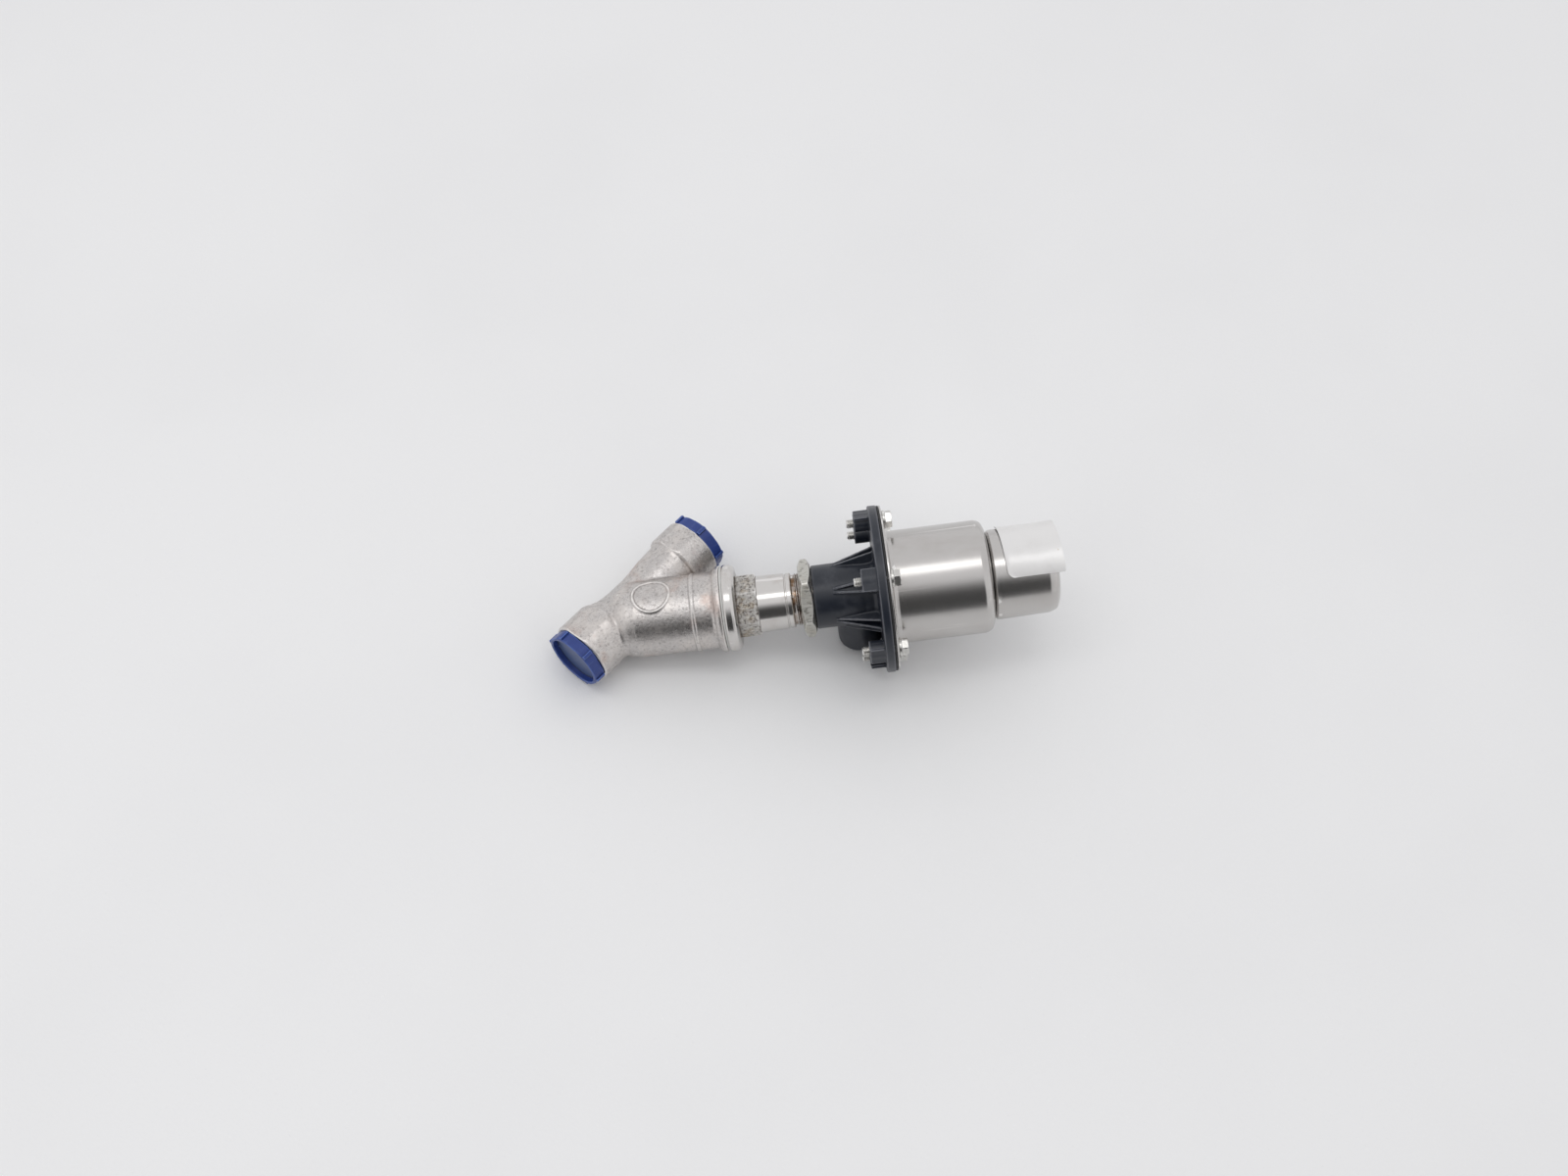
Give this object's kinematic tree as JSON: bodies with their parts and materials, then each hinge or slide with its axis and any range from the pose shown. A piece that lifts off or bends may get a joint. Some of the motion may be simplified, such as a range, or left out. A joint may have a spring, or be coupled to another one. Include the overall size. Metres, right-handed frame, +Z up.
{
  "type": "pneumatic angle-seat diaphragm valve",
  "caption": "Y-pattern stainless valve with capped threaded ports, bonnet, lock nut, black flanged air housing and a stepped round spring housing with a blank foil plate.",
  "frame": {"origin": "middle of the bounding box footprint, on the floor the valve lies on", "axes": "+X along the pipe run from the inlet end to the outlet end, +Z up; the actuator axis leaves the run at 45 degrees towards +X and -Y and rises a little"},
  "size_m": [0.2654, 0.2414, 0.1104],
  "materials": {
    "cast_steel": "grainy investment-cast stainless, bead blasted",
    "turned_steel": "turned and lightly polished stainless",
    "satin_steel": "deep-drawn satin stainless sheet",
    "stem_steel": "ground stainless",
    "zinc_steel": "stainless fasteners",
    "nut_steel": "rough milled stainless",
    "spring_steel": "drawn spring wire",
    "black_nylon": "glass-filled nylon, slight sheen",
    "black_rubber": "moulded rubber",
    "packing_white": "white fluoropolymer",
    "brass": "turned brass",
    "blue_plastic": "soft moulded polyethylene",
    "label_foil": "thin printed foil, blank"
  },
  "bodies": {
    "valve": {"valve_body": "cast_steel", "bonnet": "turned_steel", "bonnet_gasket": "packing_white", "packing_spring": "spring_steel", "packing_support_ring": "stem_steel", "packing_ring_1": "packing_white", "packing_ring_2": "packing_white", "packing_ring_3": "packing_white", "gland_bush": "brass", "stem_wiper": "black_rubber"},
    "actuator": {"lower_housing": "black_nylon", "diaphragm": "black_rubber", "spring_housing": "satin_steel", "spring_housing_cap": "satin_steel", "label_plate": "label_foil", "closing_spring": "spring_steel", "spring_seat": "zinc_steel", "stem_guide": "brass", "stem_seal": "black_rubber", "flange_screw_1": "zinc_steel", "flange_screw_2": "zinc_steel", "flange_screw_3": "zinc_steel", "flange_screw_4": "zinc_steel", "flange_screw_5": "zinc_steel", "flange_screw_6": "zinc_steel", "flange_washer_1": "zinc_steel", "flange_washer_2": "zinc_steel", "flange_washer_3": "zinc_steel", "flange_washer_4": "zinc_steel", "flange_washer_5": "zinc_steel", "flange_washer_6": "zinc_steel"},
    "stem_group": {"stem": "stem_steel", "plug_disc": "stem_steel", "plug_seal": "packing_white", "plug_washer": "stem_steel", "plug_nut": "zinc_steel", "lower_diaphragm_plate": "stem_steel", "upper_diaphragm_plate": "stem_steel", "diaphragm_washer": "zinc_steel", "diaphragm_nut": "zinc_steel"},
    "lock_nut": {"lock_nut": "nut_steel"},
    "inlet_cap": {"inlet_cap": "blue_plastic"},
    "outlet_cap": {"outlet_cap": "blue_plastic"}
  },
  "joints": [
    {"name": "actuator_turn", "type": "hinge", "parent": "valve", "child": "actuator", "pos_m": [0.01239, -0.00367, 0.04981], "axis": [0.7071, -0.6824, 0.1854], "range_deg": [-180, 180]},
    {"name": "stem_lift", "type": "slide", "parent": "actuator", "child": "stem_group", "axis": [0.7071, -0.6824, 0.1854], "range_m": [0, 0.012], "stiffness_N_per_m": 3000, "springref_m": -0.004, "deforming": ["closing_spring", "diaphragm"]},
    {"name": "lock_nut_turn", "type": "hinge", "parent": "valve", "child": "lock_nut", "pos_m": [-0.00175, 0.00997, 0.0461], "axis": [0.7071, -0.6824, 0.1854], "continuous": true},
    {"name": "inlet_cap_pull", "type": "slide", "parent": "valve", "child": "inlet_cap", "axis": [-1, 0, 0], "range_m": [0, 0.03]},
    {"name": "outlet_cap_pull", "type": "slide", "parent": "valve", "child": "outlet_cap", "axis": [1, 0, 0], "range_m": [0, 0.03]}
  ]
}
